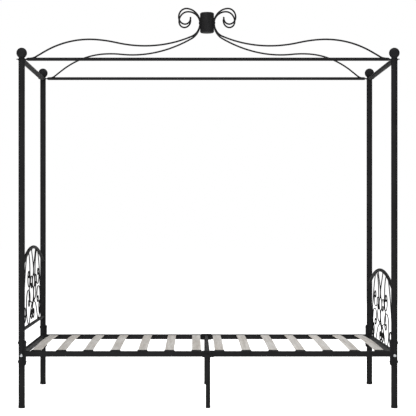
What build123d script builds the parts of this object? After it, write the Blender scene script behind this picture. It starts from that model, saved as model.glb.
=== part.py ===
from build123d import *
from math import asin, atan2, cos, degrees, hypot, radians, sin, sqrt, tan
import os

# Four poster canopy bed of round steel tube, for one mattress of 2000 x 900 mm.
# Millimetres. X runs from the head end (-X) to the foot end (+X), Z is up, and the origin lies on the
# floor below the middle of the bed. Left (-Y) and right (+Y) are as seen from the foot end.

# ---- driving dimensions: frame
POST_SPACING_X = 2045.0
POST_SPACING_Y = 940.0
POST_D = 35.0
POST_WALL = 1.5
POST_JOINT_Z = 960.0
POST_TOP_Z = 1909.5
POST_CAP_PLATE = 3.0
SLEEVE_LENGTH = 160.0
SLEEVE_WALL = 1.5

FOOT_D = 37.0
FOOT_HEIGHT = 14.0
FOOT_FLOOR = 5.0
FOOT_FILLET = 2.0
LEG_FOOT_D = 27.0

# ---- end panels
ARCH_D = 19.0
ARCH_WALL = 1.2
ARCH_RADIUS = 1100.0
HEAD_ARCH_TOP_Z = 881.0
FOOT_ARCH_TOP_Z = 745.0
PANEL_BAR_DROP = 456.0
WIRE_D = 6.0
LAYER_GAP = 0.02

# ---- bed level
RAIL_WIDTH = 20.0
RAIL_HEIGHT = 30.0
RAIL_WALL = 1.5
RAIL_CORNER = 2.5
RAIL_TOP_Z = 312.0
BRACKET_WALL = 3.0
BRACKET_REACH = 6.0
BRACKET_BOTTOM_Z = 234.0
BRACKET_TOP_Z = 370.0
BRACKET_HALF_WIDTH = 12.0
BRACKET_START = 10.6
BRACKET_CHAMFER = 4.0
BRACKET_BOLT_Z = (254.0, 358.0)
END_RAIL_BOLT_Z = 290.0
BOLT_R = 4.0
BOLT_CLEARANCE_R = 4.2
BRACKET_BOLT_HEAD = (8.0, 3.4)
BRACKET_BOLT_SPARE = 3.0
END_RAIL_BOLT_HEAD = (8.8, 5)
END_RAIL_BOLT_GRIP = 9.0
END_PLUG_LENGTH = 8.0
END_PLUG_COPE = 5.0
END_PLUG_HOLE = 12.0

JOINER_LENGTH = 64.0
JOINER_WALL = 3.0
CLAMP_BOLT_X = 22.0
CLAMP_BOLT_R = 3.0
CLAMP_BOLT_HEAD = (6.0, 3.5)
CLAMP_NUT_R = 5.0
CLAMP_NUT_HEIGHT = 5.0
CROSS_BAR_SIZE = 20.0
CROSS_BOLT_HEAD = (7.0, 4.0)
CROSS_BOLT_GRIP = 8.0
CROSS_PLUG_LENGTH = 10.0
CROSS_PLUG_HOLE = 12.0
LEG_D = 25.0
LEG_WALL = 1.5
LEG_TOP_PLATE = 4.0
LEG_STUD_R = 5.0
LEG_STUD_LENGTH = 11.0

# ---- slats
SLAT_X = (63.0, 212.5, 362.0, 511.5, 661.0, 810.5, 948.0)
SLAT_WIDTH = 50.0
SLAT_THICKNESS = 5.0
SLAT_CROWN = 9.0
SLAT_END_Y = 456.0
SLAT_END_Z = 306.0
HOLDER_WIDTH = 60.0
HOLDER_TOP_WIDTH = 51.0
HOLDER_SHOULDER_Z = 308.5
HOLDER_TOP_Z = 314.0
HOLDER_BOTTOM_Z = 294.0
HOLDER_INNER_Y = 423.0
PEG_R = 4.0
PEG_LENGTH = 9.0
PEG_Z = 300.0

# ---- canopy
LONG_RAIL_D = 18.0
LONG_RAIL_WALL = 1.2
END_BAR_D = 28.0
END_BAR_WALL = 1.5
TAB_THICKNESS = 3.0
LONG_TAB_WIDTH = 28.0
LONG_TAB_TIP = 29.5
LONG_TAB_INNER = 20.0
LONG_TAB_BLEND = 13.0
END_TAB_WIDTH = 42.0
END_TAB_INNER = 24.0
END_TAB_BLEND = 40.0
BALL_R = 29.2
BALL_CENTRE_Z = 1948.0
COLLAR_R = 17.0
COLLAR_TOP_Z = 1926.0
STUD_LENGTH = 18.0
ROD_D = 9.6
ROD_FOOT_X = 968.0
ROD_FOOT_RADIUS = 60.0
ROD_FOOT_SLOPE = 5.0
ROD_FOOT_SINK = 4.0
ROD_PEAK = (700.0, 2046.0)
ROD_PEAK_RADIUS = 575.0
ROD_SWEEP_RADIUS = 850.0
ROD_INFLECTION = 575.0
ROD_LIFT_ANGLE = 24.3
ROD_SCROLL = ((69.0, 40), (88.6, 50), (54.0, 90), (38.0, 90), (38.0, 90), (24.0, 16))
HUB_D = 82.0
HUB_BOTTOM_Z = 2130.0
HUB_TOP_Z = 2247.0
HUB_CHAMFER = 4.0
HUB_SCREW_R = 2.0
HUB_SCREW_HEAD = (4.0, 2.5)
HUB_SCREW_DEPTH = 22.0

# ---- sizes that follow from these
POST_X = POST_SPACING_X / 2
POST_Y = POST_SPACING_Y / 2
POST_R = POST_D / 2
RAIL_BOTTOM_Z = RAIL_TOP_Z - RAIL_HEIGHT
RAIL_Z = RAIL_TOP_Z - RAIL_HEIGHT / 2
RAIL_END_X = POST_X - POST_R - BRACKET_REACH
JOINER_Y = RAIL_WIDTH / 2 + JOINER_WALL
HEAD = -1
FOOT = 1
LEFT = -1
RIGHT = 1
END_NAMES = {HEAD: "head", FOOT: "foot"}
SIDE_NAMES = {LEFT: "left", RIGHT: "right"}
CORNERS = [(end, side) for end in (HEAD, FOOT) for side in (LEFT, RIGHT)]
END_BAR_Z = POST_TOP_Z + TAB_THICKNESS / 2
LONG_RAIL_Z = END_BAR_Z + TAB_THICKNESS
COLLAR_BOTTOM_Z = LONG_RAIL_Z + TAB_THICKNESS / 2
HUB_R = HUB_D / 2
ROD_R = ROD_D / 2

# ---- scrollwork wires, as bend points (y, z) of one half of a panel
# y is from the panel's middle and z from the underside of its arch's crown. Curls continue a wire's end
# with arcs of (radius, turn), where a positive turn is to the left of the way the wire runs.
TOUCH = WIRE_D / 2 + 0.01
LYRE_WIRE = (
    (96, 6), (62, -36), (26, -76), (TOUCH, -108), (TOUCH, -142), (46, -172), (46, -210),
    (TOUCH, -238), (TOUCH, -276), (30, -310), (85, -322), (124, -354), (190, -430),
)
HEART_WIRE = (
    (205, -10), (150, -26), (119, -79), (108, -154), (122, -206), (151, -252), (138, -290),
    (84, -304), (36, -312), (TOUCH, -336), (TOUCH, -371),
)
HEART_CURL = ((37, 90), (31, 90), (22, 90), (16, 90), (12, 120))
S_WIRE = ((197, -214), (145, -214), (122, -157), (88, -157))
S_OUTER_CURL = ((47, 90), (43, 90), (21, 90), (17, 90), (13, 90))
S_INNER_CURL = ((35, 90), (34, 90), (16, 90), (12, 90), (10, 60))
LOW_WIRE = ((195, -436), (255, -412), (292, -369), (302, -304), (285, -252), (245, -231), (202, -231))
LOW_CURL = ((50, 90), (45, 90), (20, 90), (16, 90), (12, 90))
CORNER_WIRE = ((232, -18), (282, -79), (320, -154), (350, -234), (378, -312), (378, -358))
CORNER_CURL = ((49, -90), (43, -90), (40, -90), (28, -90), (24, -90), (18, -60))


# ---- helpers
def rod_between(start, end, radius):
    """Solid round bar between two points."""
    axis = Vector(*end) - Vector(*start)
    return Solid.make_cylinder(radius, axis.length, Plane(origin=start, z_dir=axis))


def tube_between(start, end, diameter, wall):
    """Round tube between two points, open at both ends."""
    return rod_between(start, end, diameter / 2) - rod_between(start, end, diameter / 2 - wall)


def block(x_range, y_range, z_range):
    """Box given by its lowest and highest X, Y and Z."""
    spans = [high - low for low, high in (x_range, y_range, z_range)]
    centre = [(high + low) / 2 for low, high in (x_range, y_range, z_range)]
    return Pos(*centre) * Box(*spans)


def box_tube(start, end, width, height, wall, corner):
    """Rectangular tube with rounded corners between two level points, height along Z."""
    along = Vector(*end) - Vector(*start)
    across = Vector(0, 0, 1).cross(along)
    plane = Plane(origin=start, x_dir=across, z_dir=along)
    outer = RectangleRounded(width, height, corner)
    inner = RectangleRounded(width - 2 * wall, height - 2 * wall, corner - wall)
    return extrude(plane * (outer - inner), amount=along.length)


def dome_bolt(seat, direction, head_size, shank_r, shank_length):
    """Bolt with a domed head of (radius, height): the seat is under the head, the shank runs on."""
    head_r, head_height = head_size
    direction = Vector(*direction).normalized()
    head = Cylinder(head_r, head_height, align=(Align.CENTER, Align.CENTER, Align.MAX))
    rim = head.edges().filter_by(GeomType.CIRCLE).sort_by(Axis.Z)[0]
    head = fillet(rim, head_height * 0.8)
    shank = Cylinder(shank_r, shank_length, align=(Align.CENTER, Align.CENTER, Align.MIN))
    return Plane(origin=seat, z_dir=direction).location * (head + shank)


def bend_radii(points):
    """Radius of each bend of a wire: gentle, and as large as the runs beside it allow."""
    radii = []
    for before, corner, after in zip(points, points[1:], points[2:]):
        run_in = Vector(*corner) - Vector(*before)
        run_out = Vector(*after) - Vector(*corner)
        turn = radians(run_in.get_angle(run_out))
        radii.append(0.45 * min(run_in.length, run_out.length) / tan(turn / 2))
    return radii


def curl_edges(start, tangent, curl):
    """Tangent arcs that carry a wire on from a point, one for each (radius, turn)."""
    edges = []
    for radius, turn in curl:
        arc = JernArc(start, tangent, radius, turn)
        edges.append(arc)
        start = arc @ 1
        tangent = arc % 1
    return edges


def wire_path(points, end_curl=(), start_curl=()):
    """Flat path of one bent wire: filleted runs, with a curl at either end."""
    body = FilletPolyline(*points, radius=bend_radii(points))
    edges = list(body.edges())
    edges += curl_edges(body @ 1, body % 1, end_curl)
    edges += curl_edges(body @ 0, body % 0 * -1, start_curl)
    return Wire([edge for line in edges for edge in line.edges()])


def swept_round(path, radius):
    """Round bar or wire along a path."""
    section = Plane(origin=path @ 0, z_dir=path % 0) * Circle(radius)
    return sweep(section, path=path)


def solids_of(shape):
    return list(shape.solids())


def flattened_end(tube_d, tab_width, blend):
    """Crushed tube end at the origin: flat where it starts, round after blend along +X."""
    flat = Plane.YZ * SlotOverall(tab_width, TAB_THICKNESS)
    round_end = Plane.YZ.offset(blend) * Circle(tube_d / 2)
    return loft([flat, round_end], ruled=True)


def export_node(name, *solids):
    os.makedirs("parts", exist_ok=True)
    pieces = [solid for shape in solids for solid in solids_of(shape)]
    export_step(Compound(label=name, children=pieces), f"parts/{name}.step")


# ---- posts
def post_axis(end, side):
    return end * POST_X, side * POST_Y


def post_envelope(end, side):
    """Everything inside a post's outer surface, used to cope what meets the post."""
    x, y = post_axis(end, side)
    return rod_between((x, y, 0), (x, y, POST_TOP_Z), POST_R)


def lower_post(end, side):
    x, y = post_axis(end, side)
    post = tube_between((x, y, FOOT_FLOOR), (x, y, POST_JOINT_Z), POST_D, POST_WALL)
    for z in BRACKET_BOLT_Z:
        post -= rod_between((x - POST_D, y, z), (x + POST_D, y, z), BOLT_CLEARANCE_R)
    return post - rod_between(
        (x, y - POST_D, END_RAIL_BOLT_Z), (x, y + POST_D, END_RAIL_BOLT_Z), BOLT_CLEARANCE_R
    )


def upper_post(end, side):
    """Upper tube, closed by a welded plate with the thread for the finial."""
    x, y = post_axis(end, side)
    post = tube_between((x, y, POST_JOINT_Z), (x, y, POST_TOP_Z), POST_D, POST_WALL)
    plate_z = POST_TOP_Z - POST_CAP_PLATE
    post += rod_between((x, y, plate_z), (x, y, POST_TOP_Z), POST_R)
    return post - rod_between((x, y, plate_z - 1), (x, y, POST_TOP_Z + 1), BOLT_R)


def post_sleeve(end, side):
    x, y = post_axis(end, side)
    low = (x, y, POST_JOINT_Z - SLEEVE_LENGTH / 2)
    high = (x, y, POST_JOINT_Z + SLEEVE_LENGTH / 2)
    return tube_between(low, high, POST_D - 2 * POST_WALL, SLEEVE_WALL)


def cup_foot(x, y, tube_d, outer_d, height):
    """Moulded plastic foot that the tube stands in."""
    body = Cylinder(outer_d / 2, height, align=(Align.CENTER, Align.CENTER, Align.MIN))
    body = fillet(body.edges().filter_by(GeomType.CIRCLE).sort_by(Axis.Z)[0], FOOT_FILLET)
    pocket = rod_between((0, 0, FOOT_FLOOR), (0, 0, height + 1), tube_d / 2)
    return Pos(x, y, 0) * (body - pocket)


# ---- end panels
def arch_solid(end, top_z, diameter):
    """Round bar along a panel's arch, from post axis to post axis."""
    crown_z = top_z - ARCH_D / 2
    drop = ARCH_RADIUS - sqrt(ARCH_RADIUS**2 - POST_Y**2)
    x = end * POST_X
    arc = ThreePointArc((x, -POST_Y, crown_z - drop), (x, 0, crown_z), (x, POST_Y, crown_z - drop))
    return swept_round(arc, diameter / 2)


def arch_tube(end, top_z):
    tube = arch_solid(end, top_z, ARCH_D) - arch_solid(end, top_z, ARCH_D - 2 * ARCH_WALL)
    for side in (LEFT, RIGHT):
        tube -= post_envelope(end, side)
    return tube


def head_lower_bar():
    x = HEAD * POST_X
    z = HEAD_ARCH_TOP_Z - PANEL_BAR_DROP
    bar = tube_between((x, -POST_Y, z), (x, POST_Y, z), ARCH_D, ARCH_WALL)
    for side in (LEFT, RIGHT):
        bar -= post_envelope(HEAD, side)
    return bar


def end_rail(end):
    """Cross rail between two posts, with a threaded plug welded into each end."""
    x = end * POST_X
    rail = box_tube(
        (x, -POST_Y, RAIL_Z), (x, POST_Y, RAIL_Z), RAIL_WIDTH, RAIL_HEIGHT, RAIL_WALL, RAIL_CORNER
    )
    half_width = RAIL_WIDTH / 2 - RAIL_WALL
    plug_z = (RAIL_BOTTOM_Z + RAIL_WALL, RAIL_TOP_Z - RAIL_WALL)
    for side in (LEFT, RIGHT):
        inner_side = POST_Y - POST_R
        reach = sorted((side * (inner_side - END_PLUG_LENGTH), side * (inner_side + END_PLUG_COPE)))
        rail += block((x - half_width, x + half_width), reach, plug_z)
        rail -= post_envelope(end, side)
        hole_start = (x, side * (inner_side - END_PLUG_HOLE), END_RAIL_BOLT_Z)
        rail -= rod_between(hole_start, (x, side * POST_Y, END_RAIL_BOLT_Z), BOLT_R)
    return rail


def panel_wire(path, end, layer, top_z, cutters):
    """One wire of a panel and its mirror twin, cut where they meet the panel's tubes."""
    x = end * (POST_X - layer * (WIRE_D + LAYER_GAP) / 2)
    panel = Plane(origin=(x, 0, top_z - ARCH_D), x_dir=(0, 1, 0), z_dir=(1, 0, 0))
    wire = swept_round(panel.location * path, WIRE_D / 2)
    for cutter in cutters:
        wire -= cutter
    wire = max(solids_of(wire), key=lambda solid: solid.volume)
    return [wire, mirror(wire, about=Plane.XZ)]


def panel_scrolls(end, top_z, lower_member):
    """Wires of one end panel. Those that cross lie in two layers, welded where they lap."""
    arch = arch_solid(end, top_z, ARCH_D)
    bed_side = 1
    outside = -1
    lyre = panel_wire(wire_path(LYRE_WIRE), end, bed_side, top_z, (arch, lower_member))
    heart = panel_wire(wire_path(HEART_WIRE, HEART_CURL), end, outside, top_z, (arch,))
    s_scroll = panel_wire(wire_path(S_WIRE, S_INNER_CURL, S_OUTER_CURL), end, bed_side, top_z, ())
    low = panel_wire(wire_path(LOW_WIRE, LOW_CURL), end, bed_side, top_z, (lower_member,))
    corner = panel_wire(wire_path(CORNER_WIRE, CORNER_CURL), end, outside, top_z, (arch,))
    return lyre, s_scroll + low, heart + corner


# ---- side rails and centre support
def side_rail_half(end, side):
    """Half of a side rail, from its post bracket to the joint in the middle of the bed."""
    y = side * POST_Y
    rail = box_tube(
        (0, y, RAIL_Z), (end * RAIL_END_X, y, RAIL_Z), RAIL_WIDTH, RAIL_HEIGHT, RAIL_WALL, RAIL_CORNER
    )
    for x in SLAT_X:
        rail -= rod_between((end * x, y, PEG_Z), (end * x, y - side * RAIL_WIDTH, PEG_Z), PEG_R)
    for x, radius in ((0, BOLT_R), (end * CLAMP_BOLT_X, CLAMP_BOLT_R)):
        rail -= rod_between((x, y - RAIL_WIDTH, RAIL_Z), (x, y + RAIL_WIDTH, RAIL_Z), radius)
    return rail - rod_between((0, y, RAIL_BOTTOM_Z - 1), (0, y, RAIL_Z), LEG_STUD_R)


def rail_bracket(end, side):
    """Saddle that hugs the post and carries the end of a side rail."""
    outline = Circle(POST_R + BRACKET_WALL)
    reach = POST_R + BRACKET_REACH
    outline += Pos(reach / 2, 0) * Rectangle(reach, 2 * BRACKET_HALF_WIDTH)
    outline -= Circle(POST_R)
    outline &= Pos(BRACKET_START + POST_R, 0) * Rectangle(POST_D, 2 * POST_D)
    body = extrude(outline, amount=BRACKET_TOP_Z - BRACKET_BOTTOM_Z)
    outer_face = body.faces().sort_by(Axis.X)[-1]
    level_edges = outer_face.edges().filter_by(Axis.Y)
    body = chamfer(level_edges, BRACKET_CHAMFER)
    x, y = post_axis(end, side)
    body = Pos(x, y, BRACKET_BOTTOM_Z) * Rot(0, 0, 180 if end == FOOT else 0) * body
    for z in BRACKET_BOLT_Z:
        body -= rod_between((x - POST_D, y, z), (x + POST_D, y, z), BOLT_R)
    return body


def bracket_bolts(end, side):
    x, y = post_axis(end, side)
    shank = POST_D + BRACKET_REACH + BRACKET_BOLT_SPARE
    return [
        dome_bolt((x + end * POST_R, y, z), (-end, 0, 0), BRACKET_BOLT_HEAD, BOLT_R, shank)
        for z in BRACKET_BOLT_Z
    ]


def end_rail_bolt(end, side):
    x, y = post_axis(end, side)
    seat = (x, y + side * POST_R, END_RAIL_BOLT_Z)
    return dome_bolt(seat, (0, -side, 0), END_RAIL_BOLT_HEAD, BOLT_R, POST_D + END_RAIL_BOLT_GRIP)


def rail_joiner(side):
    """Sleeve round the middle joint of a side rail, which also takes the cross bar and leg."""
    y = side * POST_Y
    half = JOINER_LENGTH / 2
    sleeve = box_tube(
        (-half, y, RAIL_Z), (half, y, RAIL_Z),
        RAIL_WIDTH + 2 * JOINER_WALL, RAIL_HEIGHT + 2 * JOINER_WALL, JOINER_WALL, RAIL_CORNER + JOINER_WALL,
    )
    lower_corners = sleeve.edges().filter_by(Axis.Y).group_by(Axis.Z)[0]
    sleeve = fillet(lower_corners, JOINER_WALL - 0.2)
    for x, radius in ((0, BOLT_R), (CLAMP_BOLT_X, CLAMP_BOLT_R), (-CLAMP_BOLT_X, CLAMP_BOLT_R)):
        sleeve -= rod_between((x, y - RAIL_WIDTH, RAIL_Z), (x, y + RAIL_WIDTH, RAIL_Z), radius)
    return sleeve - rod_between((0, y, RAIL_BOTTOM_Z - RAIL_HEIGHT), (0, y, RAIL_Z), LEG_STUD_R)


def centre_bolts(side):
    """Bolt into the cross bar, and two clamp bolts with their nuts, at one joiner."""
    y = side * POST_Y
    outer = y + side * JOINER_Y
    inner = y - side * JOINER_Y
    inwards = (0, -side, 0)
    long_shank = 2 * JOINER_Y + CROSS_BOLT_GRIP
    short_shank = 2 * JOINER_Y + CLAMP_NUT_HEIGHT
    pieces = [dome_bolt((0, outer, RAIL_Z), inwards, CROSS_BOLT_HEAD, BOLT_R, long_shank)]
    for x in (-CLAMP_BOLT_X, CLAMP_BOLT_X):
        pieces.append(dome_bolt((x, outer, RAIL_Z), inwards, CLAMP_BOLT_HEAD, CLAMP_BOLT_R, short_shank))
        hexagon = RegularPolygon(CLAMP_NUT_R, 6, major_radius=False) - Circle(CLAMP_BOLT_R)
        nut_plane = Plane(origin=(x, inner, RAIL_Z), z_dir=inwards)
        pieces.append(extrude(nut_plane * hexagon, amount=CLAMP_NUT_HEIGHT))
    return pieces


def cross_bar():
    inner = POST_Y - JOINER_Y
    bar = box_tube(
        (0, -inner, RAIL_Z), (0, inner, RAIL_Z), CROSS_BAR_SIZE, CROSS_BAR_SIZE, RAIL_WALL, RAIL_CORNER
    )
    half = CROSS_BAR_SIZE / 2 - RAIL_WALL
    for side in (LEFT, RIGHT):
        reach = sorted((side * (inner - CROSS_PLUG_LENGTH), side * inner))
        bar += block((-half, half), reach, (RAIL_Z - half, RAIL_Z + half))
        hole_y = side * (inner - CROSS_PLUG_HOLE)
        bar -= rod_between((0, hole_y, RAIL_Z), (0, side * POST_Y, RAIL_Z), BOLT_R)
    return bar


def centre_leg(side):
    y = side * POST_Y
    top_z = RAIL_BOTTOM_Z - JOINER_WALL
    leg = tube_between((0, y, FOOT_FLOOR), (0, y, top_z), LEG_D, LEG_WALL)
    leg += rod_between((0, y, top_z - LEG_TOP_PLATE), (0, y, top_z), LEG_D / 2)
    return leg + rod_between((0, y, top_z), (0, y, top_z + LEG_STUD_LENGTH), LEG_STUD_R)


# ---- slats
def slat(x):
    """Sprung wooden slat, bowed upwards between its two holders."""
    low = SLAT_END_Z
    high = low + SLAT_THICKNESS
    under = ThreePointArc((-SLAT_END_Y, low), (0, low + SLAT_CROWN), (SLAT_END_Y, low))
    over = ThreePointArc((SLAT_END_Y, high), (0, high + SLAT_CROWN), (-SLAT_END_Y, high))
    left_end = Line(over @ 1, under @ 0)
    right_end = Line(under @ 1, over @ 0)
    profile = make_face(Wire([under.edge(), right_end.edge(), over.edge(), left_end.edge()]))
    plane = Plane(origin=(x - SLAT_WIDTH / 2, 0, 0), x_dir=(0, 1, 0), z_dir=(1, 0, 0))
    return extrude(plane * profile, amount=SLAT_WIDTH)


def slat_holder(x, side, slat_solid):
    """Black plastic holder on the rail's inner face, with a peg in the rail and a pocket for the slat."""
    back_y = POST_Y - RAIL_WIDTH / 2
    half = HOLDER_WIDTH / 2
    half_top = HOLDER_TOP_WIDTH / 2
    outline = Polyline(
        (-half, HOLDER_BOTTOM_Z), (half, HOLDER_BOTTOM_Z), (half, HOLDER_SHOULDER_Z),
        (half_top, HOLDER_TOP_Z), (-half_top, HOLDER_TOP_Z), (-half, HOLDER_SHOULDER_Z), close=True,
    )
    plane = Plane(origin=(x, side * back_y, 0), x_dir=(side, 0, 0), z_dir=(0, -side, 0))
    body = extrude(plane * make_face(outline), amount=back_y - HOLDER_INNER_Y)
    peg_start = (x, side * back_y, PEG_Z)
    body += rod_between(peg_start, (x, side * (back_y + PEG_LENGTH), PEG_Z), PEG_R)
    return body - slat_solid


# ---- canopy
def tab_with_end(tube_d, tab_width, tip, inner, blend):
    """Crushed end of a canopy tube about its stud hole at the origin; the tube goes on along +X."""
    tip_r = min(tip, tab_width / 2)
    plate = Pos((inner - tip + tip_r) / 2, 0) * Rectangle(inner + tip - tip_r, tab_width)
    plate += Pos(-tip + tip_r, 0) * Ellipse(tip_r, tab_width / 2)
    tab = Pos(0, 0, -TAB_THICKNESS / 2) * extrude(plate, amount=TAB_THICKNESS)
    tab += Pos(inner, 0, 0) * flattened_end(tube_d, tab_width, blend)
    return tab - rod_between((0, 0, -TAB_THICKNESS), (0, 0, TAB_THICKNESS), BOLT_R)


def long_rail_half(end, side):
    """Half of a long canopy rail, crushed flat where it lies under its finial."""
    start = LONG_TAB_INNER + LONG_TAB_BLEND
    rail = tab_with_end(LONG_RAIL_D, LONG_TAB_WIDTH, LONG_TAB_TIP, LONG_TAB_INNER, LONG_TAB_BLEND)
    rail += tube_between((start, 0, 0), (POST_X, 0, 0), LONG_RAIL_D, LONG_RAIL_WALL)
    x, y = post_axis(end, side)
    return Pos(x, y, LONG_RAIL_Z) * Rot(0, 0, 180 if end == FOOT else 0) * rail


def long_rail_sleeve(side):
    half = SLEEVE_LENGTH / 2
    y = side * POST_Y
    bore = LONG_RAIL_D - 2 * LONG_RAIL_WALL
    return tube_between((-half, y, LONG_RAIL_Z), (half, y, LONG_RAIL_Z), bore, LONG_RAIL_WALL)


def canopy_end_bar(end):
    """Cross bar of the canopy, one tube crushed flat at both ends."""
    start = END_TAB_INNER + END_TAB_BLEND
    half_bar = tab_with_end(
        END_BAR_D, END_TAB_WIDTH, END_TAB_WIDTH / 2, END_TAB_INNER, END_TAB_BLEND
    )
    half_bar += tube_between((start, 0, 0), (POST_Y, 0, 0), END_BAR_D, END_BAR_WALL)
    half_bar = Pos(end * POST_X, -POST_Y, END_BAR_Z) * Rot(0, 0, 90) * half_bar
    return half_bar + mirror(half_bar, about=Plane.XZ)


def ball_finial(end, side):
    """Ball with a collar and a moulded-in stud that clamps the canopy tabs onto the post."""
    x, y = post_axis(end, side)
    ball = Pos(x, y, BALL_CENTRE_Z) * Sphere(BALL_R)
    ball += rod_between((x, y, COLLAR_BOTTOM_Z), (x, y, COLLAR_TOP_Z), COLLAR_R)
    return ball + rod_between((x, y, COLLAR_BOTTOM_Z - STUD_LENGTH), (x, y, COLLAR_BOTTOM_Z), BOLT_R)


def rod_plane(end, side):
    """Upright plane of a canopy rod: x runs from the rail to the hub's axis, y is up."""
    inwards = Vector(-end * ROD_FOOT_X, -side * POST_Y, 0).normalized()
    return Plane(origin=(0, 0, 0), x_dir=inwards, z_dir=inwards.cross(Vector(0, 0, 1)))


def canopy_rod(end, side):
    """Sprung rod, scarfed onto the long rail, that goes over the bed, up the hub and into a scroll."""
    foot = (-hypot(ROD_FOOT_X, POST_Y), LONG_RAIL_Z)
    arc_centre = (-ROD_PEAK[0], ROD_PEAK[1] - ROD_PEAK_RADIUS)
    away = hypot(foot[0] - arc_centre[0], foot[1] - arc_centre[1])
    straight = sqrt(away**2 - ROD_PEAK_RADIUS**2)
    to_centre = degrees(atan2(arc_centre[1] - foot[1], arc_centre[0] - foot[0]))
    slope = to_centre + degrees(asin(ROD_PEAK_RADIUS / away))
    dip = degrees(asin((ROD_PEAK[0] - ROD_INFLECTION) / ROD_SWEEP_RADIUS))
    heading = Vector(cos(radians(slope)), sin(radians(slope)))
    foot_turn = ROD_FOOT_SLOPE - slope
    foot_rise = ROD_FOOT_RADIUS * (cos(radians(ROD_FOOT_SLOPE)) - cos(radians(slope)))
    lift_off = (LONG_RAIL_D / 2 - ROD_FOOT_SINK + foot_rise) / sin(radians(slope))
    run = Line(Vector(*foot) + heading * lift_off, Vector(*foot) + heading * straight)
    toe = JernArc(run @ 0, run % 0 * -1, ROD_FOOT_RADIUS, foot_turn)
    to_peak = JernArc(run @ 1, run % 1, ROD_PEAK_RADIUS, -slope)
    past_peak = JernArc(to_peak @ 1, to_peak % 1, ROD_SWEEP_RADIUS, -dip)
    sweep_up = JernArc(past_peak @ 1, past_peak % 1, ROD_SWEEP_RADIUS, dip + ROD_LIFT_ANGLE)
    gap = -HUB_R - ROD_R - (sweep_up @ 1).X
    lift_radius = gap / (1 - sin(radians(ROD_LIFT_ANGLE)))
    lift = JernArc(sweep_up @ 1, sweep_up % 1, lift_radius, 90 - ROD_LIFT_ANGLE)
    scroll = curl_edges(lift @ 1, lift % 1, ROD_SCROLL)
    lines = [toe, run, to_peak, past_peak, sweep_up, lift] + scroll
    path = Wire([line.edge() for line in lines])
    plane = rod_plane(end, side)
    contact = plane.from_local_coords(lift @ 1)
    y = side * POST_Y
    rod = swept_round(plane.location * path, ROD_R)
    rod -= rod_between((-POST_X, y, LONG_RAIL_Z), (POST_X, y, LONG_RAIL_Z), LONG_RAIL_D / 2)
    rod = max(solids_of(rod), key=lambda solid: solid.volume)
    return rod, contact, plane.x_dir


def hub_screw(contact, inwards):
    seat = contact - inwards * ROD_R
    return dome_bolt(seat, inwards, HUB_SCREW_HEAD, HUB_SCREW_R, ROD_D + HUB_SCREW_DEPTH)


def hub():
    """Turned block at the middle of the canopy that the four rods lean on."""
    height = HUB_TOP_Z - HUB_BOTTOM_Z
    body = Cylinder(HUB_R, height, align=(Align.CENTER, Align.CENTER, Align.MIN))
    body = chamfer(body.edges().filter_by(GeomType.CIRCLE), HUB_CHAMFER)
    return Pos(0, 0, HUB_BOTTOM_Z) * body


# ---- build and export every piece
for end, side in CORNERS:
    corner_name = f"{END_NAMES[end]}_{SIDE_NAMES[side]}"
    export_node(f"{corner_name}_lower_post", lower_post(end, side))
    export_node(f"{corner_name}_upper_post", upper_post(end, side))
    export_node(f"{SIDE_NAMES[side]}_side_rail_{END_NAMES[end]}_half", side_rail_half(end, side))
export_node("post_joining_sleeves", *[post_sleeve(*corner) for corner in CORNERS])
post_feet = [cup_foot(*post_axis(*corner), POST_D, FOOT_D, FOOT_HEIGHT) for corner in CORNERS]
leg_feet = [cup_foot(0, side * POST_Y, LEG_D, LEG_FOOT_D, FOOT_HEIGHT) for side in (LEFT, RIGHT)]
export_node("floor_feet", *post_feet, *leg_feet)

lower_bar = head_lower_bar()
foot_rail = end_rail(FOOT)
lower_bar_envelope = rod_between(
    (HEAD * POST_X, -POST_Y, HEAD_ARCH_TOP_Z - PANEL_BAR_DROP),
    (HEAD * POST_X, POST_Y, HEAD_ARCH_TOP_Z - PANEL_BAR_DROP), ARCH_D / 2,
)
foot_rail_envelope = block(
    (POST_X - RAIL_WIDTH / 2, POST_X + RAIL_WIDTH / 2), (-POST_Y, POST_Y), (RAIL_BOTTOM_Z, RAIL_TOP_Z)
)
export_node("head_lower_bar", lower_bar)
export_node("head_end_rail", end_rail(HEAD))
export_node("foot_end_rail", foot_rail)
for end, top_z, lower_member in (
    (HEAD, HEAD_ARCH_TOP_Z, lower_bar_envelope),
    (FOOT, FOOT_ARCH_TOP_Z, foot_rail_envelope),
):
    name = END_NAMES[end]
    export_node(f"{name}_arch_tube", arch_tube(end, top_z))
    lyres, scrolls, hearts = panel_scrolls(end, top_z, lower_member)
    export_node(f"{name}_lyre_wires", *lyres)
    export_node(f"{name}_scroll_wires", *scrolls)
    export_node(f"{name}_heart_wires", *hearts)

export_node("rail_brackets", *[rail_bracket(*corner) for corner in CORNERS])
dark_bolts = [bolt for corner in CORNERS for bolt in bracket_bolts(*corner)]
dark_bolts += [piece for side in (LEFT, RIGHT) for piece in centre_bolts(side)]
export_node("frame_bolts", *dark_bolts)
export_node("end_rail_bolts", *[end_rail_bolt(*corner) for corner in CORNERS])
export_node("rail_joiners", rail_joiner(LEFT), rail_joiner(RIGHT))
export_node("centre_cross_bar", cross_bar())
export_node("centre_legs", centre_leg(LEFT), centre_leg(RIGHT))

holders = []
slat_places = sorted([-x for x in SLAT_X] + list(SLAT_X))
for number, x in enumerate(slat_places, start=1):
    slat_solid = slat(x)
    export_node(f"slat_{number:02d}", slat_solid)
    holders += [slat_holder(x, side, slat_solid) for side in (LEFT, RIGHT)]
export_node("slat_holders", *holders)

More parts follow.
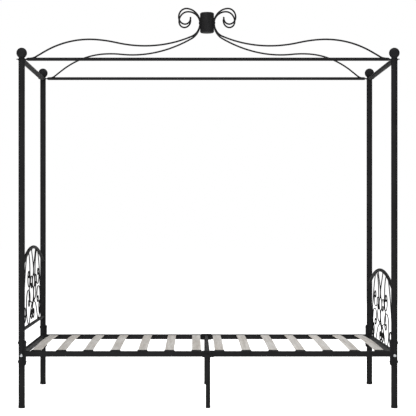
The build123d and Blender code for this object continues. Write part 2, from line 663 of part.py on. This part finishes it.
screws = []
for end, side in CORNERS:
    corner_name = f"{END_NAMES[end]}_{SIDE_NAMES[side]}"
    rod, contact, inwards = canopy_rod(end, side)
    screw = hub_screw(contact, inwards)
    screws.append(screw)
    export_node(f"canopy_rod_{corner_name}", rod - screw)
    export_node(f"canopy_rail_{corner_name}", long_rail_half(end, side))
hub_body = hub()
for screw in screws:
    hub_body -= screw
export_node("canopy_hub", hub_body)
export_node("hub_screws", *screws)
export_node("canopy_rail_sleeves", long_rail_sleeve(LEFT), long_rail_sleeve(RIGHT))
export_node("canopy_head_bar", canopy_end_bar(HEAD))
export_node("canopy_foot_bar", canopy_end_bar(FOOT))
export_node("ball_finials", *[ball_finial(*corner) for corner in CORNERS])
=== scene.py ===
from math import atan2, cos, pi, radians, sin, sqrt

import bmesh
import bpy
from mathutils import Matrix, Vector


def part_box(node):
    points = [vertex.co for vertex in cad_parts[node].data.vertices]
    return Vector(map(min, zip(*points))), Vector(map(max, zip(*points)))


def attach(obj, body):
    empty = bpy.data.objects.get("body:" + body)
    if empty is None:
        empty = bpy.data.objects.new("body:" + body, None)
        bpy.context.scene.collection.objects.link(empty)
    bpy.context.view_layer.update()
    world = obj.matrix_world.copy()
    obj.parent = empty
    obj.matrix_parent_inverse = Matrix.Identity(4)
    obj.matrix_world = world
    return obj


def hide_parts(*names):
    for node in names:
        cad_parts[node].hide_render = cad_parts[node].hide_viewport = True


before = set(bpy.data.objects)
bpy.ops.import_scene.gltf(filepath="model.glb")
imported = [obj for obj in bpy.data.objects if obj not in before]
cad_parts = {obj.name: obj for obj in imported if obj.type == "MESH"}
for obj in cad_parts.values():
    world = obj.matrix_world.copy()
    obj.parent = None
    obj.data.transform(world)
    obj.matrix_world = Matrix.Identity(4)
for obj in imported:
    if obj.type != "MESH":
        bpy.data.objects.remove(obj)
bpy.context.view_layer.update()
MM = 0.001
UP = Vector((0, 0, 1))


# ---- places taken from the frame
def centre_of(node):
    low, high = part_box(node)
    return (low + high) / 2


POST_X = centre_of("foot_left_upper_post").x
POST_Y = centre_of("foot_right_upper_post").y
POST_R = (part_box("foot_left_upper_post")[1].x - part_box("foot_left_upper_post")[0].x) / 2
RAIL_LOW, RAIL_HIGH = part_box("left_side_rail_head_half")
RAIL_Z = (RAIL_LOW.z + RAIL_HIGH.z) / 2
CORNERS = [(end, side) for end in (-1, 1) for side in (-1, 1)]
ARCH_R = (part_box("head_lower_bar")[1].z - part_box("head_lower_bar")[0].z) / 2
ARCH_RADIUS = 1.1
WIRE_R = 3 * MM
LEG_R = 12.5 * MM
POST_FOOT_R = 18.5 * MM
LEG_FOOT_R = 13.5 * MM
COLLAR_R = 17 * MM
SLAT_THICK = 5 * MM
JOINER_Y = 13 * MM
JOINER_BOLT_X = 22 * MM
BRACKET_REACH = 6 * MM
SEAT_SINK = 0.1 * MM
END_RAIL_HEAD = (8.8 * MM, 5 * MM)
BRACKET_HEAD = (8 * MM, 3.5 * MM)
CROSS_BAR_HEAD = (7 * MM, 4 * MM)
CLAMP_HEAD = (6 * MM, 3.5 * MM)
WELD_BEAD = 1.5 * MM


# ---- materials
def new_material(name):
    material = bpy.data.materials.new(name)
    material.use_nodes = True
    tree = material.node_tree
    return material, tree.nodes, tree.links, tree.nodes["Principled BSDF"]


def object_place(nodes, links, stretch=(1, 1, 1)):
    """The object's own coordinates, stretched for a grain that runs one way."""
    place = nodes.new("ShaderNodeTexCoord")
    mapping = nodes.new("ShaderNodeMapping")
    mapping.inputs["Scale"].default_value = stretch
    links.new(place.outputs["Object"], mapping.inputs["Vector"])
    return mapping.outputs["Vector"]


def noise(nodes, links, place, scale, detail=3.0, roughness=0.55):
    node = nodes.new("ShaderNodeTexNoise")
    node.inputs["Scale"].default_value = scale
    node.inputs["Detail"].default_value = detail
    node.inputs["Roughness"].default_value = roughness
    links.new(place, node.inputs["Vector"])
    return node.outputs["Fac"]


def ramp(nodes, links, value, stops):
    node = nodes.new("ShaderNodeValToRGB")
    elements = node.color_ramp.elements
    while len(elements) < len(stops):
        elements.new(0.5)
    for element, (position, colour) in zip(elements, stops):
        element.position = position
        element.color = (*colour, 1)
    links.new(value, node.inputs["Fac"])
    return node.outputs["Color"]


def remap(nodes, links, value, low, high, start=0.3, stop=0.7):
    node = nodes.new("ShaderNodeMapRange")
    node.inputs["From Min"].default_value = start
    node.inputs["From Max"].default_value = stop
    node.inputs["To Min"].default_value = low
    node.inputs["To Max"].default_value = high
    links.new(value, node.inputs["Value"])
    return node.outputs["Result"]


def mix_colour(nodes, links, share, first, second, blend="MIX"):
    node = nodes.new("ShaderNodeMix")
    node.data_type = "RGBA"
    node.blend_type = blend
    sockets = (node.inputs["Factor"], node.inputs[6], node.inputs[7])
    for socket, value in zip(sockets, (share, first, second)):
        if isinstance(value, (float, int)):
            socket.default_value = value
        elif isinstance(value, tuple):
            socket.default_value = (*value, 1)
        else:
            links.new(value, socket)
    return node.outputs[2]


def bump(nodes, links, shader, layers):
    """Stacked bumps, each (height, strength, distance in metres)."""
    normal = None
    for height, strength, distance in layers:
        node = nodes.new("ShaderNodeBump")
        node.inputs["Strength"].default_value = strength
        node.inputs["Distance"].default_value = distance
        links.new(height, node.inputs["Height"])
        if normal is not None:
            links.new(normal, node.inputs["Normal"])
        normal = node.outputs["Normal"]
    links.new(normal, shader.inputs["Normal"])


def powder_coat(name, tone, gloss):
    """Satin powder coat: orange peel, sparse dust specks and slow changes of gloss."""
    material, nodes, links, shader = new_material(name)
    place = object_place(nodes, links)
    cloud = noise(nodes, links, place, 9.0, 4.0)
    peel = noise(nodes, links, place, 520.0, 2.0)
    fine = noise(nodes, links, place, 1900.0, 2.0)
    body = ramp(nodes, links, cloud, [(0.3, [c * 0.86 for c in tone]), (0.7, [c * 1.14 for c in tone])])
    speck = ramp(nodes, links, noise(nodes, links, place, 310.0, 1.0), [(0.72, (0, 0, 0)), (0.8, (1, 1, 1))])
    colour = mix_colour(nodes, links, speck, body, tuple(c * 2.2 for c in tone))
    links.new(colour, shader.inputs["Base Color"])
    links.new(remap(nodes, links, cloud, gloss - 0.05, gloss + 0.06), shader.inputs["Roughness"])
    shader.inputs["Specular IOR Level"].default_value = 0.014
    bump(nodes, links, shader, [(peel, 0.3, 0.12 * MM), (fine, 0.18, 0.03 * MM)])
    return material


def moulded_plastic(name, tone, gloss):
    """Injection-moulded plastic with a fine spark-eroded grain and faint flow marks."""
    material, nodes, links, shader = new_material(name)
    place = object_place(nodes, links)
    grain = noise(nodes, links, place, 1500.0, 3.0, 0.7)
    flow = noise(nodes, links, object_place(nodes, links, (1, 1, 0.15)), 45.0, 5.0)
    body = ramp(nodes, links, flow, [(0.35, [c * 0.88 for c in tone]), (0.65, [c * 1.15 for c in tone])])
    links.new(body, shader.inputs["Base Color"])
    links.new(remap(nodes, links, grain, gloss - 0.06, gloss + 0.08), shader.inputs["Roughness"])
    shader.inputs["Specular IOR Level"].default_value = 0.022
    bump(nodes, links, shader, [(grain, 0.35, 0.06 * MM), (flow, 0.1, 0.05 * MM)])
    return material


def zinc_plate(name):
    """Bright zinc plating over turned steel: fine rings, spangle and a slight blue cast."""
    material, nodes, links, shader = new_material(name)
    place = object_place(nodes, links)
    spangle = noise(nodes, links, place, 700.0, 2.0)
    brushed = noise(nodes, links, object_place(nodes, links, (1, 6, 1)), 900.0, 3.0)
    colour = ramp(nodes, links, spangle, [(0.3, (0.33, 0.34, 0.35)), (0.7, (0.46, 0.47, 0.48))])
    links.new(colour, shader.inputs["Base Color"])
    links.new(remap(nodes, links, brushed, 0.24, 0.42), shader.inputs["Roughness"])
    shader.inputs["Metallic"].default_value = 1.0
    bump(nodes, links, shader, [(brushed, 0.2, 0.03 * MM)])
    return material


def birch_plywood(name):
    """Sanded multiply slat: long pale grain, short pores, and glue lines along the edges."""
    material, nodes, links, shader = new_material(name)
    board = nodes.new("ShaderNodeAttribute")
    board.attribute_name = "board"
    depth = nodes.new("ShaderNodeAttribute")
    depth.attribute_name = "ply"
    shifted = nodes.new("ShaderNodeVectorMath")
    shifted.operation = "ADD"
    place = nodes.new("ShaderNodeTexCoord")
    links.new(place.outputs["Object"], shifted.inputs[0])
    links.new(board.outputs["Color"], shifted.inputs[1])

    def grain(stretch, scale, detail, roughness=0.6):
        mapping = nodes.new("ShaderNodeMapping")
        mapping.inputs["Scale"].default_value = stretch
        links.new(shifted.outputs["Vector"], mapping.inputs["Vector"])
        return noise(nodes, links, mapping.outputs["Vector"], scale, detail, roughness)

    bands = grain((9.0, 0.55, 9.0), 6.0, 5.0)
    fibre = grain((10.0, 0.35, 10.0), 60.0, 5.0, 0.7)
    pores = grain((10.0, 0.9, 10.0), 130.0, 2.0)
    patches = grain((1, 0.6, 1), 5.0, 2.0)
    face = ramp(
        nodes, links, bands,
        [(0.3, (0.46, 0.435, 0.405)), (0.5, (0.575, 0.56, 0.535)), (0.7, (0.70, 0.69, 0.67))],
    )
    streaks = ramp(nodes, links, fibre, [(0.32, (0.74, 0.72, 0.70)), (0.6, (1.0, 1.0, 1.0))])
    dashes = ramp(nodes, links, pores, [(0.29, (0.66, 0.60, 0.55)), (0.36, (1.0, 1.0, 1.0))])
    warm = ramp(nodes, links, patches, [(0.35, (0.96, 0.93, 0.90)), (0.65, (1.0, 1.0, 1.0))])
    colour = mix_colour(nodes, links, 1.0, face, streaks, "MULTIPLY")
    colour = mix_colour(nodes, links, 1.0, colour, dashes, "MULTIPLY")
    colour = mix_colour(nodes, links, 1.0, colour, warm, "MULTIPLY")
    layers = ramp(
        nodes, links, depth.outputs["Fac"],
        [
            (0.0, (1, 1, 1)), (0.185, (1, 1, 1)), (0.2, (0.50, 0.42, 0.36)), (0.215, (0.86, 0.8, 0.74)),
            (0.385, (0.86, 0.8, 0.74)), (0.4, (0.50, 0.42, 0.36)), (0.415, (1, 1, 1)), (0.585, (1, 1, 1)),
            (0.6, (0.50, 0.42, 0.36)), (0.615, (0.86, 0.8, 0.74)), (0.785, (0.86, 0.8, 0.74)),
            (0.8, (0.50, 0.42, 0.36)), (0.815, (1, 1, 1)),
        ],
    )
    colour = mix_colour(nodes, links, 1.0, colour, layers, "MULTIPLY")
    links.new(colour, shader.inputs["Base Color"])
    links.new(remap(nodes, links, fibre, 0.52, 0.72), shader.inputs["Roughness"])
    shader.inputs["Specular IOR Level"].default_value = 0.3
    bump(nodes, links, shader, [(fibre, 0.35, 0.12 * MM), (pores, 0.25, 0.08 * MM)])
    return material


COAT = powder_coat("black_powder_coat", (0.0125, 0.0125, 0.0130), 0.52)
WIRE_COAT = powder_coat("black_powder_coat_on_wire", (0.0105, 0.0105, 0.0110), 0.54)
INNER = powder_coat("inner_sleeve_paint", (0.02, 0.02, 0.021), 0.6)
BALL = moulded_plastic("satin_black_moulding", (0.0125, 0.0125, 0.0130), 0.55)
FEET = moulded_plastic("grained_black_plastic", (0.0120, 0.0120, 0.0125), 0.57)
ZINC = zinc_plate("bright_zinc")
PLYWOOD = birch_plywood("sanded_plywood")


# ---- mesh building
class Shape:
    """Points and faces of one piece, collected part by part."""

    def __init__(self):
        self.points = []
        self.faces = []

    def ring(self, points):
        start = len(self.points)
        self.points.extend(Vector(p) for p in points)
        return list(range(start, len(self.points)))

    def bridge(self, first, second):
        count = len(first)
        for i in range(count):
            j = (i + 1) % count
            self.faces.append((first[i], first[j], second[j], second[i]))

    def cap(self, ring, flip=False):
        self.faces.append(tuple(reversed(ring)) if flip else tuple(ring))

    def loft(self, rings):
        for first, second in zip(rings, rings[1:]):
            self.bridge(first, second)

    def turned(self, profile, place, steps=48):
        """Body turned round local Z from (radius, height) or (radius, height, hexagon share)."""
        rings = []
        for radius, height, *hexagon in profile:
            share = hexagon[0] if hexagon else 0.0
            points = []
            for k in range(steps):
                turn = 2 * pi * k / steps
                flat = cos(pi / 6) / cos((turn % (pi / 3)) - pi / 6)
                reach = radius * (1 + share * (flat - 1))
                points.append(place @ Vector((reach * cos(turn), reach * sin(turn), height)))
            rings.append(self.ring(points))
        self.loft(rings)
        self.cap(rings[0], flip=True)
        self.cap(rings[-1])

    def tube_ring(self, loop, radii, normals, sides=10):
        """Closed round bead along a loop of points, with its own radius at each."""
        rings = []
        count = len(loop)
        for i, point in enumerate(loop):
            along = (loop[(i + 1) % count] - loop[i - 1]).normalized()
            out = (normals[i] - along * normals[i].dot(along)).normalized()
            across = along.cross(out)
            points = []
            for k in range(sides):
                turn = 2 * pi * k / sides
                points.append(point + (out * cos(turn) + across * sin(turn)) * radii[i])
            rings.append(self.ring(points))
        self.loft(rings + [rings[0]])

    def mesh(self, name, sharp=35):
        mesh = bpy.data.meshes.new(name)
        mesh.from_pydata([tuple(p) for p in self.points], [], self.faces)
        work = bmesh.new()
        work.from_mesh(mesh)
        bmesh.ops.recalc_face_normals(work, faces=work.faces)
        work.to_mesh(mesh)
        work.free()
        mesh.shade_smooth()
        mesh.set_sharp_from_angle(angle=radians(sharp))
        return mesh


def toward(point, direction):
    """Place whose local Z points along direction."""
    turn = UP.rotation_difference(Vector(direction).normalized()).to_matrix().to_4x4()
    return Matrix.Translation(Vector(point)) @ turn


def add_piece(name, mesh, material, slot, *stands_for):
    piece = bpy.data.objects.new(name, mesh)
    bpy.context.scene.collection.objects.link(piece)
    mesh.materials.clear()
    mesh.materials.append(material)
    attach(piece, "root")
    if stands_for:
        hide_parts(*stands_for)
    return piece


def eased_copy(node, name, material, slot, width, segments=3, angle=38):
    """Copy of a CAD node with every hard edge rounded, as forming, moulding and paint leave it."""
    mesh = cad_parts[node].data.copy()
    work = bmesh.new()
    work.from_mesh(mesh)
    bmesh.ops.remove_doubles(work, verts=work.verts, dist=1e-6)
    bmesh.ops.dissolve_limit(work, angle_limit=radians(0.5), verts=work.verts, edges=work.edges)
    hard = [e for e in work.edges if len(e.link_faces) == 2 and e.calc_face_angle(0) > radians(angle)]
    bmesh.ops.bevel(
        work, geom=hard, offset=width, offset_type="OFFSET", segments=segments, profile=0.5,
        affect="EDGES", clamp_overlap=True,
    )
    work.to_mesh(mesh)
    work.free()
    mesh.shade_smooth()
    mesh.set_sharp_from_angle(angle=radians(40))
    return add_piece(name, mesh, material, slot, node)


# ---- slats
def slat_section(width, thick, corner, steps=4):
    """Rounded flat section as (x, z) about its middle."""
    points = []
    for sx, sz, start in ((1, -1, -90), (1, 1, 0), (-1, 1, 90), (-1, -1, 180)):
        cx = sx * (width / 2 - corner)
        cz = sz * (thick / 2 - corner)
        for k in range(steps + 1):
            turn = radians(start + 90 * k / steps)
            points.append((cx + corner * cos(turn), cz + corner * sin(turn)))
    return points


def build_slat(node, number):
    low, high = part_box(node)
    crown = high.z - low.z - SLAT_THICK
    reach = high.y
    width = high.x - low.x
    middle_x = (low.x + high.x) / 2
    stations = 56
    shape = Shape()
    rings = []
    plies = []
    radius = (reach**2 + crown**2) / (2 * crown)
    for i in range(stations + 1):
        y = -reach + 2 * reach * i / stations
        from_end = reach - abs(y)
        ease = max(0.0, 1 - from_end / (5 * MM))
        rise = sqrt(radius**2 - y**2) - (radius - crown)
        section = slat_section(width - 5 * MM * ease**2, SLAT_THICK - 0.8 * MM * ease**2, 1.1 * MM)
        rings.append(shape.ring([(middle_x + x, y, low.z + SLAT_THICK / 2 + rise + z) for x, z in section]))
        plies.extend(z / SLAT_THICK + 0.5 for x, z in section)
    shape.loft(rings)
    shape.cap(rings[0], flip=True)
    shape.cap(rings[-1])
    mesh = shape.mesh(f"sprung_{node}", sharp=50)
    ply = mesh.attributes.new("ply", "FLOAT", "POINT")
    ply.data.foreach_set("value", plies)
    board = mesh.attributes.new("board", "FLOAT_VECTOR", "POINT")
    shift = (0.37 * number, 1.93 * number, 0.71 * number)
    board.data.foreach_set("vector", shift * len(mesh.vertices))
    add_piece(f"sprung_{node}", mesh, PLYWOOD, "plywood", node)


slat_nodes = sorted(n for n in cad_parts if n.startswith("slat_") and n != "slat_holders")
for number, node in enumerate(slat_nodes, start=1):
    build_slat(node, number)


# ---- bolts
def domed_head(shape, place, radius, height):
    """Button head with a rounded rim, an eased hexagon socket and a thin bearing ring."""
    socket = 0.44 * radius
    profile = [
        (0.80 * radius, 0.0), (0.97 * radius, 0.0), (1.0 * radius, 0.04 * height),
        (1.0 * radius, 0.13 * height), (0.985 * radius, 0.2 * height), (0.95 * radius, 0.36 * height),
        (0.89 * radius, 0.54 * height), (0.81 * radius, 0.70 * height), (0.71 * radius, 0.84 * height),
        (0.61 * radius, 0.93 * height), (0.545 * radius, 0.985 * height), (0.50 * radius, 1.0 * height),
        (socket * 1.13, 0.985 * height, 0.6), (socket * 1.1, 0.93 * height, 1.0),
        (socket * 1.1, 0.34 * height, 1.0), (socket * 0.5, 0.25 * height, 0.2),
    ]
    shape.turned(profile, place, 48)


def threaded_end(shape, place, radius, length, pitch=1.25 * MM):
    """Threaded end of a bolt, from its local origin to a chamfered point."""
    turns = int((length - 1.2 * MM) / pitch)
    profile = [(0.86 * radius, 0.0)]
    for k in range(turns):
        base = k * pitch
        profile += [(0.86 * radius, base + 0.12 * pitch), (0.985 * radius, base + 0.5 * pitch)]
        profile.append((0.86 * radius, base + 0.88 * pitch))
    profile += [(0.94 * radius, length - 1.1 * MM), (0.94 * radius, length - 0.8 * MM)]
    profile.append((0.72 * radius, length))
    shape.turned(profile, place, 32)


def hexagon_nut(shape, place, across, height, bore):
    """Nut with turned corners."""
    corner = across / 2 / cos(pi / 6)
    shape.turned(
        [
            (bore * 1.1, 0.0), (across / 2 * 0.96, 0.0), (corner, 0.12 * height, 1.0),
            (corner, 0.86 * height, 1.0), (across / 2 * 0.96, 1.0 * height), (bore * 1.22, 1.0 * height),
            (bore * 1.02, 0.88 * height),
        ],
        place, 48,
    )


zinc_bolts = Shape()
for end, side in CORNERS:
    seat = Vector((end * POST_X, side * (POST_R + POST_Y - SEAT_SINK), centre_of("end_rail_bolts").z))
    domed_head(zinc_bolts, toward(seat, (0, side, 0)), *END_RAIL_HEAD)
add_piece("end_rail_bolt_heads", zinc_bolts.mesh("end_rail_bolt_heads"), ZINC, "zinc_bolt", "end_rail_bolts")

dark_bolts = Shape()
bolts_low, bolts_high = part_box("frame_bolts")
BOLT_HEIGHTS = (bolts_low.z + BRACKET_HEAD[0], bolts_high.z - BRACKET_HEAD[0])
bracket_inner = POST_X - POST_R - BRACKET_REACH
for end, side in CORNERS:
    for z in BOLT_HEIGHTS:
        seat = Vector((end * (POST_X + POST_R - SEAT_SINK), side * POST_Y, z))
        domed_head(dark_bolts, toward(seat, (end, 0, 0)), *BRACKET_HEAD)
        tip = Vector((end * bracket_inner, side * POST_Y, z))
        threaded_end(dark_bolts, toward(tip, (-end, 0, 0)), 4 * MM, 3 * MM)
for side in (-1, 1):
    outer = side * (POST_Y + JOINER_Y - SEAT_SINK)
    inner = side * (POST_Y - JOINER_Y + SEAT_SINK)
    domed_head(dark_bolts, toward((0, outer, RAIL_Z), (0, side, 0)), *CROSS_BAR_HEAD)
    for x in (-JOINER_BOLT_X, JOINER_BOLT_X):
        domed_head(dark_bolts, toward((x, outer, RAIL_Z), (0, side, 0)), *CLAMP_HEAD)
        hexagon_nut(dark_bolts, toward((x, inner, RAIL_Z), (0, -side, 0)), 10 * MM, 5 * MM, 3 * MM)
        tip = (x, side * (POST_Y - JOINER_Y - 3.2 * MM), RAIL_Z)
        threaded_end(dark_bolts, toward(tip, (0, -side, 0)), 3 * MM, 3 * MM, 1 * MM)
add_piece("frame_bolt_heads", dark_bolts.mesh("frame_bolt_heads"), COAT, "black_powder_coat", "frame_bolts")


# ---- finials, hub and feet
def arc_profile(centre, radius, start, stop, steps):
    """(radius, height) points on an arc about (radius, height) centre, angles in degrees from outwards."""
    points = []
    for k in range(steps + 1):
        turn = radians(start + (stop - start) * k / steps)
        points.append((centre[0] + radius * cos(turn), centre[1] + radius * sin(turn)))
    return points


def ball_profile(base, ball_z, ball_r, collar_r):
    """Collar with eased edges, a small fillet, and the ball with its fine moulding line."""
    neck = ball_z - sqrt(ball_r**2 - (collar_r - 0.6 * MM) ** 2)
    points = [(0.3 * collar_r, base)]
    points += arc_profile((collar_r - 1.2 * MM, base + 1.2 * MM), 1.2 * MM, -90, 0, 5)
    points += arc_profile((collar_r - 1.6 * MM, neck - 3.2 * MM), 1.6 * MM, 0, 70, 5)
    points.append((collar_r - 1.2 * MM, neck - 1.0 * MM))
    start = -atan2(ball_z - neck, collar_r - 0.2 * MM) * 180 / pi
    points += arc_profile((0, ball_z), ball_r, start, -1.2, 22)
    points += [(ball_r - 0.16 * MM, ball_z - 0.25 * MM), (ball_r - 0.16 * MM, ball_z + 0.25 * MM)]
    points += arc_profile((0, ball_z), ball_r, 1.2, 89, 32)
    return points


finials = Shape()
ball_low, ball_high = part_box("ball_finials")
BALL_R = (ball_high.x - ball_low.x) / 2 - POST_X
COLLAR_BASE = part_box("canopy_rail_foot_left")[1].z - 7.5 * MM
finial_profile = ball_profile(COLLAR_BASE, ball_high.z - BALL_R, BALL_R, COLLAR_R)
for end, side in CORNERS:
    finials.turned(finial_profile, Matrix.Translation((end * POST_X, side * POST_Y, 0)), 72)
finial_mesh = finials.mesh("turned_ball_finials", 50)
add_piece("turned_ball_finials", finial_mesh, BALL, "black_moulding", "ball_finials")

hub_low, hub_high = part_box("canopy_hub")
hub_r = hub_high.x
hub = Shape()
hub_profile = [(0.25 * hub_r, hub_low.z)]
hub_profile += arc_profile((hub_r - 4.8 * MM, hub_low.z + 0.8 * MM), 0.8 * MM, -90, -45, 3)
hub_profile += arc_profile((hub_r - 0.8 * MM, hub_low.z + 4.6 * MM), 0.8 * MM, -45, 0, 3)
hub_profile += arc_profile((hub_r - 0.8 * MM, hub_high.z - 4.6 * MM), 0.8 * MM, 0, 45, 3)
hub_profile += arc_profile((hub_r - 4.8 * MM, hub_high.z - 0.8 * MM), 0.8 * MM, 45, 90, 3)
hub_profile += [(0.5 * hub_r, hub_high.z), (0.46 * hub_r, hub_high.z - 0.8 * MM)]
hub_profile.append((0.2 * hub_r, hub_high.z - 0.8 * MM))
hub.turned(hub_profile, Matrix.Identity(4), 96)
add_piece("turned_hub", hub.mesh("turned_hub", 30), BALL, "black_moulding", "canopy_hub")

feet = Shape()
foot_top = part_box("floor_feet")[1].z
foot_places = [(end * POST_X, side * POST_Y, POST_FOOT_R, POST_R) for end, side in CORNERS]
foot_places += [(0, side * POST_Y, LEG_FOOT_R, LEG_R) for side in (-1, 1)]
for x, y, foot_r, tube_r in foot_places:
    profile = [(0.55 * foot_r, 0.6 * MM), (0.62 * foot_r, 0.0)]
    profile += arc_profile((foot_r - 2.4 * MM, 2.4 * MM), 2.4 * MM, -90, -8, 7)
    profile += [(foot_r - 0.35 * MM, 3.4 * MM), (foot_r - 0.35 * MM, 4.0 * MM), (foot_r, 4.4 * MM)]
    profile += arc_profile((foot_r - 0.7 * MM, foot_top - 0.7 * MM), 0.7 * MM, 0, 90, 4)
    profile += [(tube_r + 0.05 * MM, foot_top), (tube_r + 0.05 * MM, foot_top - 3 * MM)]
    feet.turned(profile, Matrix.Translation((x, y, 0)), 64)
add_piece("moulded_floor_feet", feet.mesh("moulded_floor_feet", 32), FEET, "black_plastic", "floor_feet")


# ---- small formed and moulded parts, with their hard edges eased
eased_copy("slat_holders", "moulded_slat_holders", FEET, "black_plastic", 0.7 * MM)
eased_copy("rail_brackets", "formed_rail_brackets", COAT, "black_powder_coat", 0.8 * MM)
eased_copy("rail_joiners", "formed_rail_joiners", COAT, "black_powder_coat", 0.6 * MM)


# ---- welds
def ripple(k, count, strength):
    """Overlapping crescents of a weld, the same on every run."""
    return 1 + strength * abs(sin(pi * k * 11 / count)) + 0.35 * strength * sin(2 * pi * k * 3 / count + 0.8)


def post_weld(shape, axis_point, direction, radius, post_xy, bead):
    """Bead where a round tube's end meets a round post."""
    across = Vector((1, 0, 0))
    upward = across.cross(direction).normalized()
    loop = []
    normals = []
    count = 88
    for k in range(count):
        turn = 2 * pi * k / count
        out = across * cos(turn) + upward * sin(turn)
        start = axis_point + out * radius
        flat = Vector((direction.x, direction.y))
        gap = Vector((start.x - post_xy[0], start.y - post_xy[1]))
        a = flat.dot(flat)
        b = 2 * gap.dot(flat)
        c = gap.dot(gap) - POST_R**2
        travel = (-b - sqrt(max(b * b - 4 * a * c, 0))) / (2 * a)
        point = start + direction * travel
        loop.append(point)
        from_post = Vector((point.x - post_xy[0], point.y - post_xy[1], 0)).normalized()
        normals.append((out + from_post).normalized())
    radii = [bead * ripple(k, count, 0.22) for k in range(count)]
    shape.tube_ring(loop, radii, normals)


def arch_height(top_z, y):
    return top_z - ARCH_R - ARCH_RADIUS + sqrt(ARCH_RADIUS**2 - y**2)


def wire_weld(shape, point, direction, radius=4.8 * MM, length=6 * MM):
    """Small domed weld round a wire's end where it meets a tube or a rail."""
    profile = []
    steps = 7
    for k in range(steps + 1):
        share = k / steps
        profile.append((WIRE_R * 0.9 + (radius - WIRE_R * 0.9) * (1 - share) ** 1.8, share * length))
    shape.turned(profile, toward(point, direction), 20)


HEAD_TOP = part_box("head_arch_tube")[1].z
FOOT_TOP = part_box("foot_arch_tube")[1].z
BAR_Z = centre_of("head_lower_bar").z
# where each panel wire enters its arch: start, next bend (both mm from the crown's underside), and layer
WIRE_STARTS = (
    ((96, 6), (62, -36), 1), ((205, -10), (150, -26), -1), ((232, -18), (282, -79), -1),
)
welds = Shape()
for end, top_z in ((-1, HEAD_TOP), (1, FOOT_TOP)):
    for side in (-1, 1):
        y = side * (POST_Y - POST_R)
        slope = -y / sqrt(ARCH_RADIUS**2 - y**2)
        direction = Vector((0, side, side * slope)).normalized()
        start = Vector((end * POST_X, y, arch_height(top_z, y))) - direction * 25 * MM
        post_weld(welds, start, direction, ARCH_R, (end * POST_X, side * POST_Y), WELD_BEAD)
    for first, second, layer in WIRE_STARTS:
        x = end * (POST_X - layer * WIRE_R)
        run = Vector((0, second[0] - first[0], second[1] - first[1])).normalized()
        point = Vector((0, first[0] * MM, top_z - 2 * ARCH_R + first[1] * MM))
        hub_point = Vector((0, 0, top_z - ARCH_R - ARCH_RADIUS))
        while (point - hub_point).length > ARCH_RADIUS - ARCH_R + 0.6 * MM:
            point = point + run * 0.2 * MM
        for side in (-1, 1):
            wire_weld(welds, (x, side * point.y, point.z), (0, side * run.y, run.z))
for side in (-1, 1):
    start = Vector((-POST_X, side * (POST_Y - POST_R - 25 * MM), BAR_Z))
    post_weld(welds, start, Vector((0, side, 0)), ARCH_R, (-POST_X, side * POST_Y), WELD_BEAD)
add_piece("weld_beads", welds.mesh("weld_beads", 60), WIRE_COAT, "black_powder_coat")


# ---- materials of the CAD nodes that are shown as they are
for node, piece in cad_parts.items():
    if piece.hide_render:
        continue
    if node.endswith("_wires"):
        finish = WIRE_COAT
    elif node.endswith("_sleeves"):
        finish = INNER
    else:
        finish = COAT
    for index in range(len(piece.material_slots)):
        piece.material_slots[index].material = finish


# ---- studio
FLOOR_GLOW = 0.93
AMBIENT = 0.12
CAMERA_PLACE = (-0.0797, -7.11, 1.0557)


def studio_floor():
    mesh = bpy.data.meshes.new("studio_floor")
    mesh.from_pydata([(-30, -30, 0), (30, -30, 0), (30, 30, 0), (-30, 30, 0)], [], [(0, 1, 2, 3)])
    floor = bpy.data.objects.new("studio_floor", mesh)
    bpy.context.scene.collection.objects.link(floor)
    floor.location.z = -0.3 * MM
    material, nodes, links, shader = new_material("pale_floor")
    shader.inputs["Base Color"].default_value = (0.9, 0.9, 0.9, 1)
    shader.inputs["Roughness"].default_value = 0.9
    shader.inputs["Specular IOR Level"].default_value = 0.0
    shader.inputs["Emission Color"].default_value = (1, 1, 1, 1)
    shader.inputs["Emission Strength"].default_value = FLOOR_GLOW
    mesh.materials.append(material)


def soft_light(name, place, target, size, power):
    light = bpy.data.lights.new(name, "AREA")
    light.shape = "RECTANGLE"
    light.size = size[0]
    light.size_y = size[1]
    light.energy = power
    lamp = bpy.data.objects.new(name, light)
    lamp.location = place
    lamp.rotation_euler = (Vector(target) - Vector(place)).to_track_quat("-Z", "Y").to_euler()
    bpy.context.scene.collection.objects.link(lamp)


studio_floor()
soft_light("front_softbox", (-1.6, -7.5, 3.2), (0, 0, 1.1), (5.0, 4.0), 370)
soft_light("top_softbox", (0.3, -0.5, 5.0), (0, 0, 0.3), (5.0, 3.0), 190)
soft_light("back_softbox", (2.2, 7.5, 3.4), (0, 0, 1.1), (5.0, 4.0), 110)

world = bpy.data.worlds.new("studio_world")
world.use_nodes = True
tree = world.node_tree
background = tree.nodes["Background"]
background.inputs["Color"].default_value = (1, 1, 1, 1)
background.inputs["Strength"].default_value = AMBIENT
plain = tree.nodes.new("ShaderNodeBackground")
plain.inputs["Color"].default_value = (1, 1, 1, 1)
plain.inputs["Strength"].default_value = 1.0
ray = tree.nodes.new("ShaderNodeLightPath")
either = tree.nodes.new("ShaderNodeMixShader")
tree.links.new(ray.outputs["Is Camera Ray"], either.inputs["Fac"])
tree.links.new(background.outputs["Background"], either.inputs[1])
tree.links.new(plain.outputs["Background"], either.inputs[2])
tree.links.new(either.outputs["Shader"], tree.nodes["World Output"].inputs["Surface"])
bpy.context.scene.world = world
bpy.context.scene.view_settings.view_transform = "Standard"

camera_data = bpy.data.cameras.new("camera")
camera_data.lens = 104.7
camera_data.sensor_width = 36
camera_data.shift_x = 0.0349
camera_data.shift_y = 0.0183
camera = bpy.data.objects.new("camera", camera_data)
camera.location = CAMERA_PLACE
camera.rotation_euler = (radians(90), 0, 0)
bpy.context.scene.collection.objects.link(camera)
bpy.context.scene.camera = camera
